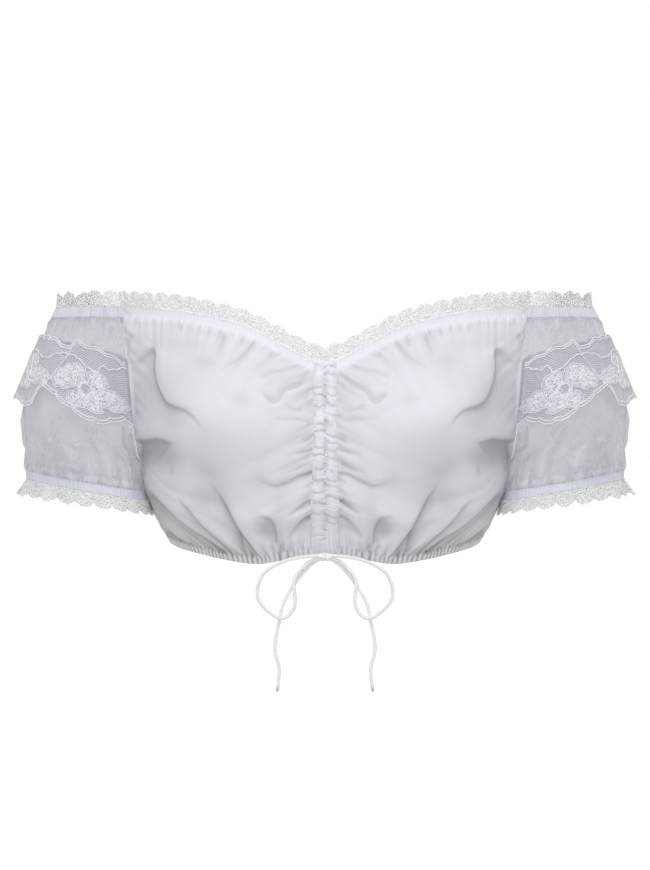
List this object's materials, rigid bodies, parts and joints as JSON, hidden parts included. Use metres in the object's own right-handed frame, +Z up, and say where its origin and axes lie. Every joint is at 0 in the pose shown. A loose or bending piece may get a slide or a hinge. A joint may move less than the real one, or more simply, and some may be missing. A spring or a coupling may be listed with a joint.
{
  "type": "dirndl blouse",
  "caption": "Cropped off-shoulder dirndl blouse, worn shape: gathered body, ruched centre with a drawstring bow, short sheer sleeves with lace flounces, scalloped lace at neck and cuffs.",
  "frame": {"origin": "middle of the neckline opening, level with the sleeves' upper edges, where its elastic holds it on the wearer", "axes": "+Z up, -Y the front, +X the wearer's left"},
  "size_m": [0.563, 0.2436, 0.3484],
  "materials": {
    "body_cloth": "smooth light woven cloth, soft",
    "organza": "sheer crisp organza",
    "casing": "finely gathered elastic casing",
    "flounce_lace": "floral net lace",
    "lace_edging": "crochet lace edging",
    "cord": "braided round cord"
  },
  "bodies": {
    "root": {"front": "body_cloth", "back": "body_cloth", "drawstring_channel": "body_cloth", "sleeve_left": "organza", "sleeve_right": "organza", "sleeve_head_casing_left": "casing", "sleeve_head_casing_right": "casing", "cuff_casing_left": "casing", "cuff_casing_right": "casing", "sleeve_flounce_left": "flounce_lace", "sleeve_flounce_right": "flounce_lace", "neck_lace": "lace_edging", "cuff_lace_left": "lace_edging", "cuff_lace_right": "lace_edging", "bow_knot": "cord", "bow_loop_left": "cord", "bow_loop_right": "cord", "cord_end_left": "cord", "cord_end_right": "cord"}
  },
  "joints": []
}
